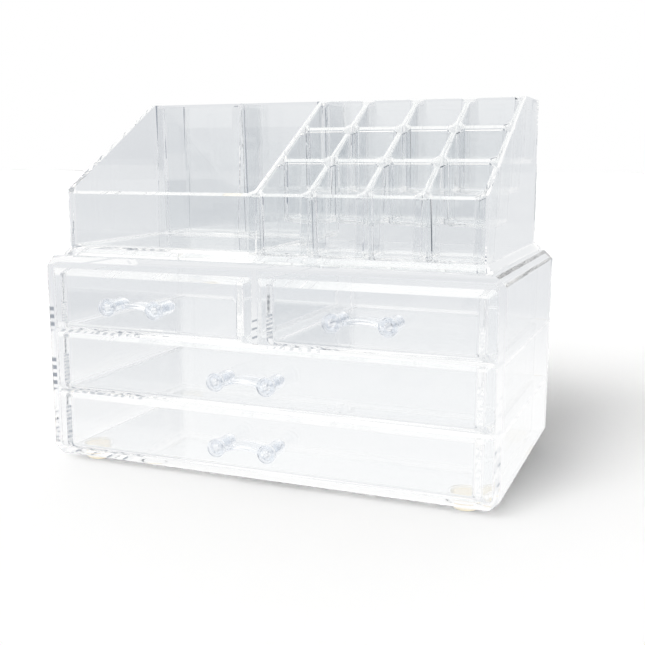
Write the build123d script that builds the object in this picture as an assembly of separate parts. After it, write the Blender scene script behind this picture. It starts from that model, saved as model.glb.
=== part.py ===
"""Clear makeup organizer: a four-drawer chest with a lift-off compartment tray standing on its top.

Millimetres. X runs to the right, Y to the back, Z up. The origin is under the middle of the whole
object, on the floor it stands on.
"""
from build123d import *
import os
from math import sqrt

os.makedirs("parts", exist_ok=True)

# Chest casing: a chamfered tube with a closed back
CASING_WIDTH = 238.0
CASING_DEPTH = 128.0
CASING_HEIGHT = 105.0
CASING_CHAMFER = 4.6
INNER_CHAMFER = 2.2
SIDE_WALL = 2.8
TOP_WALL = 2.9
BOTTOM_WALL = 3.0
BACK_WALL = 2.5
SHELF_THICKNESS = 2.4
DIVIDER_THICKNESS = 2.7
ROW_PITCH = 32.0

# Rubber feet in moulded rings under the casing
FOOT_DIAMETER = 14.0
FOOT_HEIGHT = 4.5
FOOT_CHAMFER = 1.2
FOOT_FROM_SIDE = 18.0
FOOT_FROM_END = 13.5
FOOT_CLEARANCE = 0.1
GLUE_FILM = 0.05
RING_WALL = 1.4
RING_HEIGHT = 1.2

# Drawer fronts: bevelled plates, proud of the casing rim
FRONT_HEIGHT = 31.3
FRONT_PROUD = 3.0
FRONT_INSET = 0.6
FRONT_CORNER = 2.0
BEVEL_WIDTH = 3.4
BEVEL_CORNER = 0.6
FRONT_LIFT = 0.7
FRONT_SIDE_GAP = 0.8
FRONT_DIVIDER_GAP = 0.45
SHELF_FRONT_GAP = 0.4

# Drawer boxes behind the fronts
BOX_INSET = 4.7
BOX_WALL = 2.8
BOX_FLOOR = 2.0
BOX_TOP_DROP = 3.5
BOX_REAR_GAP = 5.5
BOX_RUN_GAP = 0.05
BOX_OUTER_RADIUS = 2.6
BOX_INNER_RADIUS = 1.6

# Handles: an arched strap between two barrel feet, held by two capped pins
HANDLE_SPACING = 26.3
HANDLE_REACH = 17.4
HANDLE_DROP = 0.5
BARREL_DIAMETER = 7.0
BARREL_EDGE = 0.3
CAP_DIAMETER = 8.9
CAP_THICKNESS = 2.8
CAP_CHAMFER = 0.6
CAP_REAR_EDGE = 0.3
PIN_DIAMETER = 4.0
PIN_CLEARANCE = 0.05
PIN_TAIL = 1.8
PIN_TAIL_CHAMFER = 0.5
BOW_RISE = 2.8
BOW_CREST = 1.0
BOW_THICKNESS = 2.7
BOW_EDGE = 0.8
BOW_END = 1.2
BOW_CAP_GAP = 0.2
BOW_PLATE_GAP = 2.2

# Tray: one thin moulding of sixteen cups hung in a skirt with a flared foot
TRAY_WIDTH = 217.4
TRAY_SEAT_GAP = 0.05
TRAY_HEIGHT = 80.0
TRAY_SETBACK = 3.2
TRAY_FRONT_HEIGHT = 31.8
TRAY_SLOPE_RUN = 84.9
TRAY_CORNER = 3.5
TRAY_FRONT_WALL = 2.0
TRAY_LEFT_WALL = 2.4
TRAY_SKIRT = 1.4
TRAY_RIGHT_EDGE = 2.4
TRAY_WEB = 1.6
REAR_SETBACK = 2.0
REAR_EDGE = 2.0
FLARE_REACH = 3.2
FLARE_HEIGHT = 4.1
FLARE_LAND = 0.8

# Cups of the tray
CUP_WALL = 1.15
CUP_FLOOR = 2.0
CUP_EDGE = 2.3
CUP_CORNER = 3.0
CUP_DRAFT = 1.5
CUP_INNER_RADIUS = 1.5
CUP_OUTER_RADIUS = 2.4
GRID_COLUMNS = 4
GRID_ROWS = 3
SLOT_WIDTH = 24.9
SLOT_DEPTH = 25.8
FIRST_FLOOR = 5.0
FLOOR_STEP = 14.5
BIG_DRAFT = 0.5
BIG_REAR = 91.5

# Places that several pieces share
FRONT = (HANDLE_REACH - CASING_DEPTH) / 2
BACK = FRONT + CASING_DEPTH
CASING_TOP = FOOT_HEIGHT + CASING_HEIGHT
TRAY_BASE = CASING_TOP + TRAY_SEAT_GAP
BAY_HALF = CASING_WIDTH / 2 - SIDE_WALL
BAY_FLOORS = [FOOT_HEIGHT + BOTTOM_WALL + row * ROW_PITCH for row in range(3)]
BAY_TOP = CASING_TOP - TOP_WALL
FRONT_FACE = FRONT - FRONT_PROUD
FRONT_REAR = FRONT + FRONT_INSET
BARREL_LENGTH = HANDLE_REACH - FRONT_PROUD - CAP_THICKNESS
OFFSET_GAIN = 2 - sqrt(2)


def block(x0, x1, y0, y1, z0, z1):
    """A block between two opposite corners."""
    return Pos(x0, y0, z0) * Box(x1 - x0, y1 - y0, z1 - z0, align=(Align.MIN, Align.MIN, Align.MIN))


def front_disc(radius, y0, y1, x, z):
    """A cylinder lying along Y from y0 to y1."""
    middle = Pos(x, (y0 + y1) / 2, z) * Rot(90, 0, 0)
    return middle * Cylinder(radius, y1 - y0)


def foot_places():
    """Name and centre of each foot."""
    x = CASING_WIDTH / 2 - FOOT_FROM_SIDE
    ends = {"front": FRONT + FOOT_FROM_END, "rear": BACK - FOOT_FROM_END}
    sides = {"left": -x, "right": x}
    return {f"{end}_{side}": (sides[side], ends[end]) for end in ends for side in sides}


def make_casing():
    """Chamfered tube, back, two shelves, the divider of the top bay and the rings for the feet."""
    half = CASING_WIDTH / 2
    outer = block(-half, half, FRONT, BACK, FOOT_HEIGHT, CASING_TOP)
    outer = chamfer(outer.edges().filter_by(Axis.Y), CASING_CHAMFER)
    bay = block(-BAY_HALF, BAY_HALF, FRONT - 1, BACK - BACK_WALL, BAY_FLOORS[0], BAY_TOP)
    bay = chamfer(bay.edges().filter_by(Axis.Y), INNER_CHAMFER)
    casing = outer - bay

    shelf_front = FRONT_REAR + SHELF_FRONT_GAP
    shelf_rear = BACK - BACK_WALL / 2
    shelf_half = BAY_HALF + SIDE_WALL / 2
    for floor in BAY_FLOORS[1:]:
        casing += block(-shelf_half, shelf_half, shelf_front, shelf_rear, floor - SHELF_THICKNESS, floor)
    divider = DIVIDER_THICKNESS / 2
    divider_floor = BAY_FLOORS[2] - SHELF_THICKNESS / 2
    casing += block(-divider, divider, shelf_front, shelf_rear, divider_floor, BAY_TOP + TOP_WALL / 2)
    casing += block(-divider, divider, FRONT, shelf_front + 1, BAY_FLOORS[2], BAY_TOP + TOP_WALL / 2)

    bore = FOOT_DIAMETER / 2 + FOOT_CLEARANCE
    for x, y in foot_places().values():
        place = Pos(x, y, FOOT_HEIGHT - RING_HEIGHT)
        low = (Align.CENTER, Align.CENTER, Align.MIN)
        ring = Cylinder(bore + RING_WALL, RING_HEIGHT + BOTTOM_WALL / 2, align=low)
        casing += place * (ring - Cylinder(bore, RING_HEIGHT, align=low))
    return casing


def make_foot(x, y):
    """Round rubber bumper, chamfered where it meets the floor."""
    low = (Align.CENTER, Align.CENTER, Align.MIN)
    foot = Pos(x, y, 0) * Cylinder(FOOT_DIAMETER / 2, FOOT_HEIGHT - GLUE_FILM, align=low)
    return chamfer(foot.edges().sort_by(Axis.Z)[0], FOOT_CHAMFER)


def drawer_places():
    """Name, left edge, right edge and bay floor of each drawer front."""
    wide = BAY_HALF - FRONT_SIDE_GAP
    inner = DIVIDER_THICKNESS / 2 + FRONT_DIVIDER_GAP
    return {
        "top_left": (-wide, -inner, BAY_FLOORS[2]),
        "top_right": (inner, wide, BAY_FLOORS[2]),
        "middle": (-wide, wide, BAY_FLOORS[1]),
        "bottom": (-wide, wide, BAY_FLOORS[0]),
    }


def handle_pins(left, right, floor):
    """Centres of the two pins of a drawer: left, then right."""
    middle = (left + right) / 2
    z = floor + FRONT_LIFT + FRONT_HEIGHT / 2 - HANDLE_DROP
    return [(middle - HANDLE_SPACING / 2, z), (middle + HANDLE_SPACING / 2, z)]


def make_drawer(left, right, floor):
    """Bevelled front plate and the open box behind it, moulded as one."""
    width = right - left
    middle = Pos((left + right) / 2, 0, floor + FRONT_LIFT + FRONT_HEIGHT / 2)
    rim = Plane(origin=(0, FRONT, 0), x_dir=(1, 0, 0), z_dir=(0, -1, 0))
    foot = RectangleRounded(width, FRONT_HEIGHT, FRONT_CORNER)
    face = RectangleRounded(width - 2 * BEVEL_WIDTH, FRONT_HEIGHT - 2 * BEVEL_WIDTH, BEVEL_CORNER)
    bevel = loft([rim * foot, rim.offset(FRONT_PROUD) * face], ruled=True)
    drawer = middle * (bevel + extrude(rim * foot, -FRONT_INSET))

    x0 = left + BOX_INSET
    x1 = right - BOX_INSET
    rear = BACK - BACK_WALL - BOX_REAR_GAP
    bottom = floor + BOX_RUN_GAP
    top = floor + FRONT_LIFT + FRONT_HEIGHT - BOX_TOP_DROP
    shell = block(x0, x1, FRONT_REAR - FRONT_INSET / 2, rear, bottom, top)
    shell = fillet(shell.edges().filter_by(Axis.Y).group_by(Axis.Z)[0], BOX_OUTER_RADIUS)
    shell = fillet(shell.faces().sort_by(Axis.Y)[-1].edges().filter_by(Axis.Z), BOX_OUTER_RADIUS)
    room = block(x0 + BOX_WALL, x1 - BOX_WALL, FRONT_REAR, rear - BOX_WALL, bottom + BOX_FLOOR, top + 5)
    room = fillet(room.edges().filter_by(Axis.Z), BOX_INNER_RADIUS)
    room = fillet(room.faces().sort_by(Axis.Z)[0].edges(), BOX_INNER_RADIUS)
    drawer += shell - room

    bore = PIN_DIAMETER / 2 + PIN_CLEARANCE
    for x, z in handle_pins(left, right, floor):
        drawer -= front_disc(bore, FRONT_FACE - 1, FRONT_REAR + BOX_INNER_RADIUS, x, z)
    return drawer


def make_bow(left, right, floor):
    """Two barrel feet joined by a wide arched strap."""
    (x0, z), (x1, _) = handle_pins(left, right, floor)
    tip = FRONT_FACE - BARREL_LENGTH
    strap_front = tip + BOW_CAP_GAP
    strap_depth = BARREL_LENGTH - BOW_CAP_GAP - BOW_PLATE_GAP
    profile = Plane(origin=((x0 + x1) / 2, strap_front, z), x_dir=(1, 0, 0), z_dir=(0, -1, 0))
    half = HANDLE_SPACING / 2 - BOW_END
    crest = BOW_CREST + BOW_THICKNESS / 2
    trough = BOW_CREST - BOW_THICKNESS / 2
    upper = ThreePointArc((-half, crest - BOW_RISE), (0, crest), (half, crest - BOW_RISE))
    lower = ThreePointArc((-half, trough - BOW_RISE), (0, trough), (half, trough - BOW_RISE))
    outline = Curve() + [upper, Line(upper @ 1, lower @ 1), lower, Line(lower @ 0, upper @ 0)]
    strap = extrude(profile * make_face(outline), -strap_depth)
    bow = fillet(strap.edges().filter_by(GeomType.CIRCLE), BOW_EDGE)
    for x in (x0, x1):
        barrel = front_disc(BARREL_DIAMETER / 2, tip + GLUE_FILM, FRONT_FACE - GLUE_FILM, x, z)
        bow += chamfer(barrel.edges().filter_by(GeomType.CIRCLE), BARREL_EDGE)
    bore = PIN_DIAMETER / 2 + PIN_CLEARANCE
    for x in (x0, x1):
        bow -= front_disc(bore, tip - 1, FRONT_FACE + 1, x, z)
    return bow


def make_pin(x, z):
    """Round cap in front of a barrel and the shank that runs through it into the drawer."""
    cap_rear = FRONT_FACE - BARREL_LENGTH
    cap_front = cap_rear - CAP_THICKNESS
    cap = front_disc(CAP_DIAMETER / 2, cap_front, cap_rear, x, z)
    cap = chamfer(cap.edges().filter_by(GeomType.CIRCLE).sort_by(Axis.Y)[0], CAP_CHAMFER)
    cap = chamfer(cap.edges().filter_by(GeomType.CIRCLE).sort_by(Axis.Y)[-1], CAP_REAR_EDGE)
    tail = FRONT_REAR + PIN_TAIL
    shank = front_disc(PIN_DIAMETER / 2, (cap_front + cap_rear) / 2, tail, x, z)
    shank = chamfer(shank.edges().filter_by(GeomType.CIRCLE).sort_by(Axis.Y)[-1], PIN_TAIL_CHAMFER)
    return cap + shank


def cup_section(x0, x1, y0, y1, corner, z):
    """Rectangle with cut corners, as a face at height z."""
    points = [
        (x0 + corner, y0), (x1 - corner, y0), (x1, y0 + corner), (x1, y1 - corner),
        (x1 - corner, y1), (x0 + corner, y1), (x0, y1 - corner), (x0, y0 + corner),
    ]
    return Pos(0, 0, z) * make_face(Polyline(*points, close=True))


def drafted_cup(opening, top, floor, angle, grow, radius):
    """Body that narrows from its opening at the top down to its floor, with a rounded lower edge."""
    x0, x1, y0, y1 = opening
    corner = CUP_CORNER + OFFSET_GAIN * grow
    section = cup_section(x0 - grow, x1 + grow, y0 - grow, y1 + grow, corner, floor)
    cup = extrude(section, top - floor)
    walls = cup.faces().filter_by(Axis.Z, reverse=True)
    cup = draft(walls, Plane.XY.offset(top), -angle)
    return fillet(cup.faces().sort_by(Axis.Z)[0].edges(), radius)


def skirt_section(half_left, half_right, y0, y1, corner):
    """Plan of the tray with its two front corners cut."""
    points = [
        (-half_left, y0 + corner), (-half_left + corner, y0), (half_right - corner, y0),
        (half_right, y0 + corner), (half_right, y1), (-half_left, y1),
    ]
    return make_face(Polyline(*points, close=True))


def side_prism(points):
    """A side profile, given as (y, z) points, drawn out wider than the tray."""
    profile = Plane.YZ * make_face(Polyline(*points, close=True))
    return extrude(profile, TRAY_WIDTH, both=True)


def tray_openings():
    """Opening, floor height above the tray's base and draft of each of the sixteen cups."""
    half = TRAY_WIDTH / 2
    left = -half + TRAY_LEFT_WALL
    right = half - TRAY_RIGHT_EDGE
    front = FRONT + TRAY_SETBACK + TRAY_FRONT_WALL
    rear = BACK - REAR_SETBACK - REAR_EDGE
    column_pitch = SLOT_WIDTH + CUP_EDGE
    row_pitch = SLOT_DEPTH + CUP_EDGE
    grid_left = right - GRID_COLUMNS * column_pitch + CUP_EDGE

    cups = {}
    for row in range(GRID_ROWS):
        y0 = front + row * row_pitch
        floor = FIRST_FLOOR + row * FLOOR_STEP
        for column in range(GRID_COLUMNS):
            x0 = grid_left + column * column_pitch
            opening = (x0, x0 + SLOT_WIDTH, y0, y0 + SLOT_DEPTH)
            cups[f"slot_{row + 1}_{column + 1}"] = (opening, floor, CUP_DRAFT)

    big_right = grid_left - CUP_EDGE
    big_rear = FRONT + BIG_REAR
    cups["big"] = ((left, big_right, front, big_rear), FIRST_FLOOR, BIG_DRAFT)
    rear_width = (big_right - left - CUP_EDGE) / 2
    rear_front = big_rear + CUP_EDGE
    for number, x0 in enumerate((left, big_right - rear_width)):
        opening = (x0, x0 + rear_width, rear_front, rear)
        cups[f"rear_{number + 1}"] = (opening, FIRST_FLOOR, CUP_DRAFT)
    opening = (grid_left, right, front + GRID_ROWS * row_pitch, rear)
    cups["rear_3"] = (opening, FIRST_FLOOR + GRID_ROWS * FLOOR_STEP, CUP_DRAFT)
    return cups


def slope_height(y):
    """Height of the tray's sloping top above its base at a place y, flat from the slope's end."""
    run = min(max(y - FRONT - TRAY_SETBACK, 0), TRAY_SLOPE_RUN)
    return TRAY_FRONT_HEIGHT + (TRAY_HEIGHT - TRAY_FRONT_HEIGHT) * run / TRAY_SLOPE_RUN


def make_tray():
    """Skirt with a sloping web on top, the cups hung in it, and the flared foot around its base."""
    half = TRAY_WIDTH / 2
    front = FRONT + TRAY_SETBACK
    slope_end = front + TRAY_SLOPE_RUN
    top = TRAY_BASE + TRAY_HEIGHT
    ledge = TRAY_BASE + FIRST_FLOOR + GRID_ROWS * FLOOR_STEP - CUP_FLOOR
    upper_rear = BACK - REAR_SETBACK

    plan = skirt_section(half, half, front, BACK, TRAY_CORNER)
    envelope = Pos(0, 0, TRAY_BASE) * extrude(plan, TRAY_HEIGHT)
    envelope &= side_prism([
        (front - 1, TRAY_BASE - 1), (front - 1, TRAY_BASE + slope_height(front) - slope_drop(1)),
        (slope_end, top), (upper_rear, top), (upper_rear, ledge), (BACK + 1, ledge), (BACK + 1, TRAY_BASE - 1),
    ])

    inner_corner = TRAY_CORNER - OFFSET_GAIN * TRAY_FRONT_WALL
    inner_front = front + TRAY_FRONT_WALL
    inner_rear = BACK - TRAY_SKIRT
    inner_plan = skirt_section(half - TRAY_LEFT_WALL, half - TRAY_SKIRT, inner_front, inner_rear, inner_corner)
    hollow = Pos(0, 0, TRAY_BASE - 1) * extrude(inner_plan, TRAY_HEIGHT)
    web = top - TRAY_WEB
    hollow &= side_prism([
        (front - 1, TRAY_BASE - 2), (front - 1, TRAY_BASE + slope_height(front) - slope_drop(1) - TRAY_WEB),
        (slope_end, web), (upper_rear - TRAY_SKIRT, web), (upper_rear - TRAY_SKIRT, ledge - TRAY_SKIRT),
        (BACK + 1, ledge - TRAY_SKIRT), (BACK + 1, TRAY_BASE - 2),
    ])

    flare_half = half + FLARE_REACH
    flare_corner = TRAY_CORNER + OFFSET_GAIN * FLARE_REACH
    flare_plan = skirt_section(flare_half, flare_half, front - FLARE_REACH, BACK, flare_corner)
    flare = Pos(0, 0, TRAY_BASE) * extrude(flare_plan, FLARE_LAND)
    flare += loft([
        Pos(0, 0, TRAY_BASE + FLARE_LAND) * flare_plan,
        Pos(0, 0, TRAY_BASE + FLARE_HEIGHT) * plan,
    ], ruled=True)
    tray = envelope + flare - hollow

    for opening, floor, angle in tray_openings().values():
        mouth = TRAY_BASE + slope_height(opening[3])
        base = TRAY_BASE + floor
        cup = drafted_cup(opening, mouth, base - CUP_FLOOR, angle, CUP_WALL, CUP_OUTER_RADIUS)
        tray += cup & envelope
    for opening, floor, angle in tray_openings().values():
        mouth = TRAY_BASE + slope_height(opening[3])
        tray -= drafted_cup(opening, mouth, TRAY_BASE + floor, angle, 0, CUP_INNER_RADIUS)
    return tray


def slope_drop(run):
    """Fall of the tray's slope over a run towards the front."""
    return (TRAY_HEIGHT - TRAY_FRONT_HEIGHT) * run / TRAY_SLOPE_RUN


def save(name, shape):
    """Writes one piece to its own file."""
    shape.label = name
    export_step(shape, f"parts/{name}.step")


def main():
    """Builds and saves every piece."""
    save("casing", make_casing())
    save("tray", make_tray())
    for place, (x, y) in foot_places().items():
        save(f"foot_{place}", make_foot(x, y))
    for place, drawer in drawer_places().items():
        save(f"drawer_{place}", make_drawer(*drawer))
        save(f"handle_bow_{place}", make_bow(*drawer))
        for side, pin in zip(("left", "right"), handle_pins(*drawer)):
            save(f"handle_pin_{side}_{place}", make_pin(*pin))


main()
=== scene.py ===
"""Clear makeup organizer with four drawers and a compartment tray, on a white studio floor."""

from math import cos, pi, radians, sin

import bpy
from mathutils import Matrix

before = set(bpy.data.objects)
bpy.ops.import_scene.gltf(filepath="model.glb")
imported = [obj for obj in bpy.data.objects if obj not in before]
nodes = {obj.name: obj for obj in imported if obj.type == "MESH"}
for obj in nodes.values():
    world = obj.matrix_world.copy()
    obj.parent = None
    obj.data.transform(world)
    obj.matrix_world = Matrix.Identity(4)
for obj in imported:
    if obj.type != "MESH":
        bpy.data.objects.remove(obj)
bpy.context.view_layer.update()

# Camera fitted to the photograph: place in metres, angles in radians, focal length in pixels
CAMERA_PLACE = (0.1941, -0.4485, 0.1581)
CAMERA_PITCH = 0.172
CAMERA_YAW = 0.385
FOCAL_PIXELS = 934.7
PICTURE_PIXELS = 645
SENSOR_MM = 36.0
CLIP_START = 0.01
CLIP_END = 50.0

WHITE = (1.0, 1.0, 1.0, 1.0)

# Studio that the clear walls show: (height, brightness) steps, where a height is the sine of the elevation
STUDIO_STEPS = [(0.00, 0.80), (0.12, 0.88), (0.28, 0.93), (0.50, 1.20), (0.78, 1.35), (0.97, 0.85)]
# Soft fields: azimuth from +Y towards +X, elevation, half angle and edge in degrees, and what they add
STUDIO_FIELDS = [
    (105.0, 0.0, 12.0, 54.0, -0.66),
    (80.0, 50.0, 18.0, 42.0, -0.70),
    (203.0, 22.0, 15.0, 40.0, 0.20),
    (32.0, 4.0, 6.0, 16.0, -0.45),
]
STUDIO_FLOOR = 0.06
# Powers of the brightness in red, green and blue: the darker parts of the room are bluer
STUDIO_POWERS = (1.08, 1.00, 0.88)
# Light on the matt floor: one soft field as key, and an even fill
KEY_FIELD = (199.0, 39.0, 12.0, 8.0, 21.0)
FILL_LEVEL = 0.10
# Share of key and fill that each clear surface lets through to the floor
WALL_PASS = 0.84
WALL_BOUNCES = 256

# Clear plastic: polished, with faint waves of moulding flow and hairline scratches
PLASTIC_IOR = 1.49
FLOW_SCALE = 22.0
FLOW_HEIGHT = 0.000002
FLOW_STRENGTH = 0.25
HAIR_SCALE = (260.0, 1800.0, 260.0)
HAIR_RANGE = (0.70, 0.85)
HAIR_ROUGHNESS = 0.02
CASING_TINT = (0.985, 0.988, 0.990)
TRAY_TINT = (0.983, 0.987, 0.988)
HANDLE_TINT = (0.930, 0.945, 0.968)

# Translucent rubber of the feet
RUBBER_IOR = 1.48
RUBBER_ROUGHNESS = 0.15
RUBBER_CLOUD_SCALE = 300.0
RUBBER_DEEP = (0.97, 0.84, 0.60, 1.0)
RUBBER_PALE = (1.00, 0.92, 0.74, 1.0)

# Floor in metres, and its glow for the camera
FLOOR_HALF = 12.0
FLOOR_COLOUR = 0.80
FLOOR_GLOW = 0.26
# Painted light on the floor that the clear walls show: (distance, brightness) near and far, and painted
# shade to the front right
FLOOR_NEAR = (0.25, 1.00)
FLOOR_FAR = (0.60, 0.84)
FRONT_AIM = (0.574, -0.819, 0.0)
FRONT_FADE = (0.25, 0.75)
FRONT_PAINTED_SHADE = 0.48
# Painted pool of light on that floor in front of the object
PAINTED_POOL_PLACE = (-0.06, -0.20, 0.0)
PAINTED_POOL_RADIUS = 0.25
PAINTED_POOL_GAIN = 0.12


class Tree:
    """Short names for building a node tree."""

    def __init__(self, tree):
        self.nodes = tree.nodes
        self.links = tree.links
        self.nodes.clear()

    def add(self, kind, inputs=(), **settings):
        """A new node; inputs maps a socket's name or number to a value or to another node's output."""
        node = self.nodes.new(kind)
        for name, value in settings.items():
            setattr(node, name, value)
        for key, value in dict(inputs).items():
            socket = node.inputs[key]
            if isinstance(value, bpy.types.NodeSocket):
                self.links.new(value, socket)
            else:
                socket.default_value = value
        return node

    def math(self, operation, a, b=0.0):
        """Output of one math node."""
        return self.add("ShaderNodeMath", {0: a, 1: b}, operation=operation).outputs[0]

    def vector(self, operation, a, b=(0.0, 0.0, 0.0)):
        """Number that one vector math node gives."""
        return self.add("ShaderNodeVectorMath", {0: a, 1: b}, operation=operation).outputs["Value"]

    def mix(self, factor, a, b):
        """Colour that goes from a to b as the factor goes from 0 to 1."""
        return self.add("ShaderNodeMix", {0: factor, 6: a, 7: b}, data_type="RGBA").outputs[2]


def ray_kinds(tree):
    """1 for a camera ray, 1 for a ray off or through a clear wall, 1 for a ray from a matt surface."""
    path = tree.add("ShaderNodeLightPath")
    inside = tree.math("MAXIMUM", path.outputs["Is Glossy Ray"], path.outputs["Is Transmission Ray"])
    matt = tree.math("MINIMUM", path.outputs["Diffuse Depth"], 1.0)
    return path.outputs["Is Camera Ray"], inside, matt


def soft_field(tree, direction, azimuth, elevation, half, edge, strength):
    """Round soft light, or shade, around one direction of the surroundings."""
    turn = radians(azimuth)
    rise = radians(elevation)
    aim = (sin(turn) * cos(rise), cos(turn) * cos(rise), sin(rise))
    along = tree.vector("DOT_PRODUCT", direction, aim)
    field = tree.add("ShaderNodeMapRange", {
        "Value": along,
        "From Min": cos(radians(half + edge)),
        "From Max": cos(radians(half)),
    }, interpolation_type="SMOOTHSTEP").outputs["Result"]
    return tree.math("MULTIPLY", field, strength)


def coloured(tree, level):
    """Brightness turned into the room's colour."""
    channels = {number: tree.math("POWER", level, power) for number, power in enumerate(STUDIO_POWERS)}
    return tree.add("ShaderNodeCombineColor", channels).outputs[0]


def build_world():
    """White for the camera, a bright white studio for the clear walls, key and fill for matt surfaces."""
    world = bpy.data.worlds.new("studio")
    bpy.context.scene.world = world
    world.use_nodes = True
    tree = Tree(world.node_tree)
    direction = tree.add("ShaderNodeTexCoord").outputs["Generated"]
    height = tree.add("ShaderNodeSeparateXYZ", {0: direction}).outputs["Z"]
    studio = STUDIO_STEPS[0][1]
    for (low, before), (high, after) in zip(STUDIO_STEPS, STUDIO_STEPS[1:]):
        step = tree.add("ShaderNodeMapRange", {
            "Value": height, "From Min": low, "From Max": high, "To Max": after - before,
        }).outputs["Result"]
        studio = tree.math("ADD", studio, step)
    for field in STUDIO_FIELDS:
        studio = tree.math("ADD", studio, soft_field(tree, direction, *field))
    studio = coloured(tree, tree.math("MAXIMUM", studio, STUDIO_FLOOR))
    plain = tree.math("ADD", soft_field(tree, direction, *KEY_FIELD), FILL_LEVEL)
    camera_ray, _, matt = ray_kinds(tree)
    light = tree.mix(matt, studio, plain)
    light = tree.mix(camera_ray, light, WHITE)
    background = tree.add("ShaderNodeBackground", {"Color": light, "Strength": 1.0})
    tree.add("ShaderNodeOutputWorld", {"Surface": background.outputs[0]})


def build_floor():
    """White floor that keeps the shadow; the clear walls show it as a glow of painted light with a
    fall-off, painted shade to the front right and a painted pool of light.
    """
    mesh = bpy.data.meshes.new("floor")
    corners = [(-FLOOR_HALF, -FLOOR_HALF, 0), (FLOOR_HALF, -FLOOR_HALF, 0)]
    corners += [(FLOOR_HALF, FLOOR_HALF, 0), (-FLOOR_HALF, FLOOR_HALF, 0)]
    mesh.from_pydata(corners, [], [(0, 1, 2, 3)])
    floor = bpy.data.objects.new("floor", mesh)
    bpy.context.scene.collection.objects.link(floor)
    material = bpy.data.materials.new("floor_white")
    material.use_nodes = True
    tree = Tree(material.node_tree)
    camera_ray, inside, _ = ray_kinds(tree)
    place = tree.add("ShaderNodeTexCoord").outputs["Object"]
    distance = tree.vector("LENGTH", place)
    # Painted light: the floor glows for the clear walls, darker with distance from the object
    level = tree.add("ShaderNodeMapRange", {
        "Value": distance, "From Min": FLOOR_NEAR[0], "From Max": FLOOR_FAR[0],
        "To Min": FLOOR_NEAR[1], "To Max": FLOOR_FAR[1],
    }).outputs["Result"]
    # Painted shade on that glow towards the front right
    ahead = tree.vector("DOT_PRODUCT", place, FRONT_AIM)
    painted_shade = tree.add("ShaderNodeMapRange", {
        "Value": ahead, "From Min": FRONT_FADE[0], "From Max": FRONT_FADE[1], "To Max": FRONT_PAINTED_SHADE,
    }, interpolation_type="SMOOTHSTEP").outputs["Result"]
    # Painted pool of light on that glow in front of the object
    reach = tree.vector("DISTANCE", place, PAINTED_POOL_PLACE)
    painted_pool = tree.add("ShaderNodeMapRange", {
        "Value": reach, "From Max": PAINTED_POOL_RADIUS, "To Min": PAINTED_POOL_GAIN, "To Max": 0.0,
    }, interpolation_type="SMOOTHSTEP").outputs["Result"]
    level = tree.math("SUBTRACT", tree.math("ADD", level, painted_pool), painted_shade)
    lit = tree.add("ShaderNodeBsdfPrincipled", {
        "Base Color": (FLOOR_COLOUR, FLOOR_COLOUR, FLOOR_COLOUR, 1.0),
        "Roughness": 1.0,
        "Specular IOR Level": 0.0,
        "Emission Color": WHITE,
        "Emission Strength": tree.math("MULTIPLY", camera_ray, FLOOR_GLOW),
    })
    # Emission that the clear walls see: painted light and shade on the floor
    painted_floor_light = tree.add("ShaderNodeEmission", {"Color": coloured(tree, level), "Strength": 1.0})
    surface = tree.add("ShaderNodeMixShader", {0: inside, 1: lit.outputs[0], 2: painted_floor_light.outputs[0]})
    tree.add("ShaderNodeOutputMaterial", {"Surface": surface.outputs[0]})
    floor.data.materials.append(material)


def clear_plastic(name, tint, wave=FLOW_HEIGHT):
    """Polished clear plastic; key and fill light pass it unbent on their way to the floor."""
    material = bpy.data.materials.new(name)
    material.use_nodes = True
    tree = Tree(material.node_tree)
    place = tree.add("ShaderNodeTexCoord").outputs["Object"]
    flow = tree.add("ShaderNodeTexNoise", {
        "Vector": place, "Scale": FLOW_SCALE, "Detail": 1.0, "Roughness": 0.4,
    })
    bump = tree.add("ShaderNodeBump", {
        "Strength": FLOW_STRENGTH, "Distance": wave, "Height": flow.outputs[0],
    })
    stretch = tree.add("ShaderNodeMapping", {"Vector": place, "Scale": HAIR_SCALE})
    hair = tree.add("ShaderNodeTexNoise", {"Vector": stretch.outputs[0], "Scale": 1.0, "Detail": 2.0})
    rough = tree.add("ShaderNodeMapRange", {
        "Value": hair.outputs[0], "From Min": HAIR_RANGE[0], "From Max": HAIR_RANGE[1],
        "To Max": HAIR_ROUGHNESS,
    }).outputs["Result"]
    body = tree.add("ShaderNodeBsdfPrincipled", {
        "Base Color": (*tint, 1.0),
        "Roughness": rough,
        "IOR": PLASTIC_IOR,
        "Transmission Weight": 1.0,
        "Normal": bump.outputs[0],
    })
    _, _, matt = ray_kinds(tree)
    dimmed = tree.add("ShaderNodeBsdfTransparent", {"Color": (WALL_PASS, WALL_PASS, WALL_PASS, 1.0)})
    surface = tree.add("ShaderNodeMixShader", {
        0: matt, 1: body.outputs[0], 2: dimmed.outputs[0],
    })
    tree.add("ShaderNodeOutputMaterial", {"Surface": surface.outputs[0]})
    return material


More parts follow.
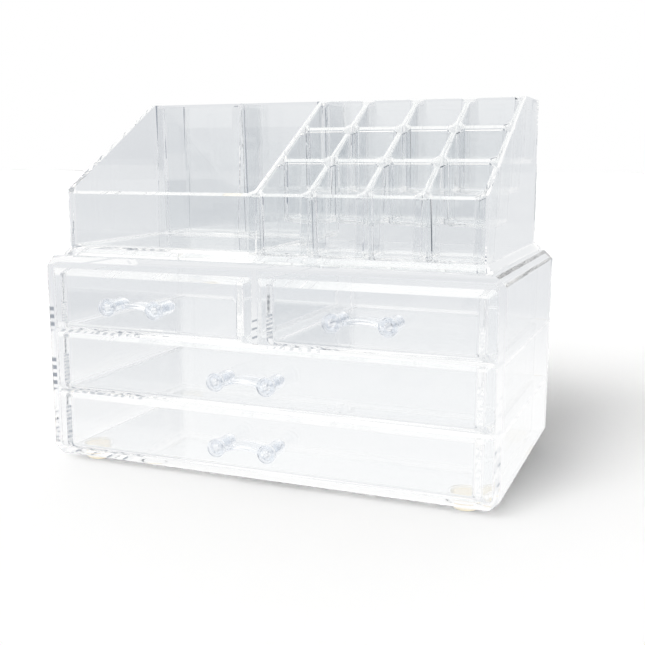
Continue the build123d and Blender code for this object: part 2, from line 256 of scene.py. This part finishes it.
def amber_rubber():
    """Clear amber rubber of the feet, slightly cloudy."""
    material = bpy.data.materials.new("amber_rubber")
    material.use_nodes = True
    tree = Tree(material.node_tree)
    place = tree.add("ShaderNodeTexCoord").outputs["Object"]
    cloud = tree.add("ShaderNodeTexNoise", {"Vector": place, "Scale": RUBBER_CLOUD_SCALE, "Detail": 2.0})
    amber = tree.mix(cloud.outputs[0], RUBBER_DEEP, RUBBER_PALE)
    body = tree.add("ShaderNodeBsdfPrincipled", {
        "Base Color": amber,
        "Roughness": RUBBER_ROUGHNESS,
        "IOR": RUBBER_IOR,
        "Transmission Weight": 1.0,
    })
    tree.add("ShaderNodeOutputMaterial", {"Surface": body.outputs[0]})
    return material


def dress():
    """Gives every piece its material."""
    materials = {
        "casing": clear_plastic("clear_casing", CASING_TINT),
        "drawer": clear_plastic("clear_drawer", CASING_TINT),
        "tray": clear_plastic("clear_tray", TRAY_TINT),
        "handle": clear_plastic("clear_handle", HANDLE_TINT, 0.0),
        "foot": amber_rubber(),
    }
    for name, piece in nodes.items():
        material = materials[name.split("_")[0]]
        piece.data.materials.clear()
        piece.data.materials.append(material)


def build_camera():
    """Camera at the photograph's place."""
    data = bpy.data.cameras.new("camera")
    data.sensor_width = SENSOR_MM
    data.lens = SENSOR_MM * FOCAL_PIXELS / PICTURE_PIXELS
    data.clip_start = CLIP_START
    data.clip_end = CLIP_END
    camera = bpy.data.objects.new("camera", data)
    camera.location = CAMERA_PLACE
    camera.rotation_euler = (pi / 2 - CAMERA_PITCH, 0.0, CAMERA_YAW)
    bpy.context.scene.collection.objects.link(camera)
    bpy.context.scene.camera = camera


bpy.context.scene.view_settings.view_transform = "Standard"
cycles = bpy.context.scene.cycles
# Light crosses many nested clear walls, and mirrors inside them, before it comes out
cycles.max_bounces = WALL_BOUNCES
cycles.glossy_bounces = WALL_BOUNCES
cycles.transmission_bounces = WALL_BOUNCES
cycles.transparent_max_bounces = WALL_BOUNCES
# Key and fill reach the floor straight through the walls, so no second share comes by bent light
cycles.caustics_refractive = False
cycles.caustics_reflective = False
build_world()
build_floor()
dress()
build_camera()
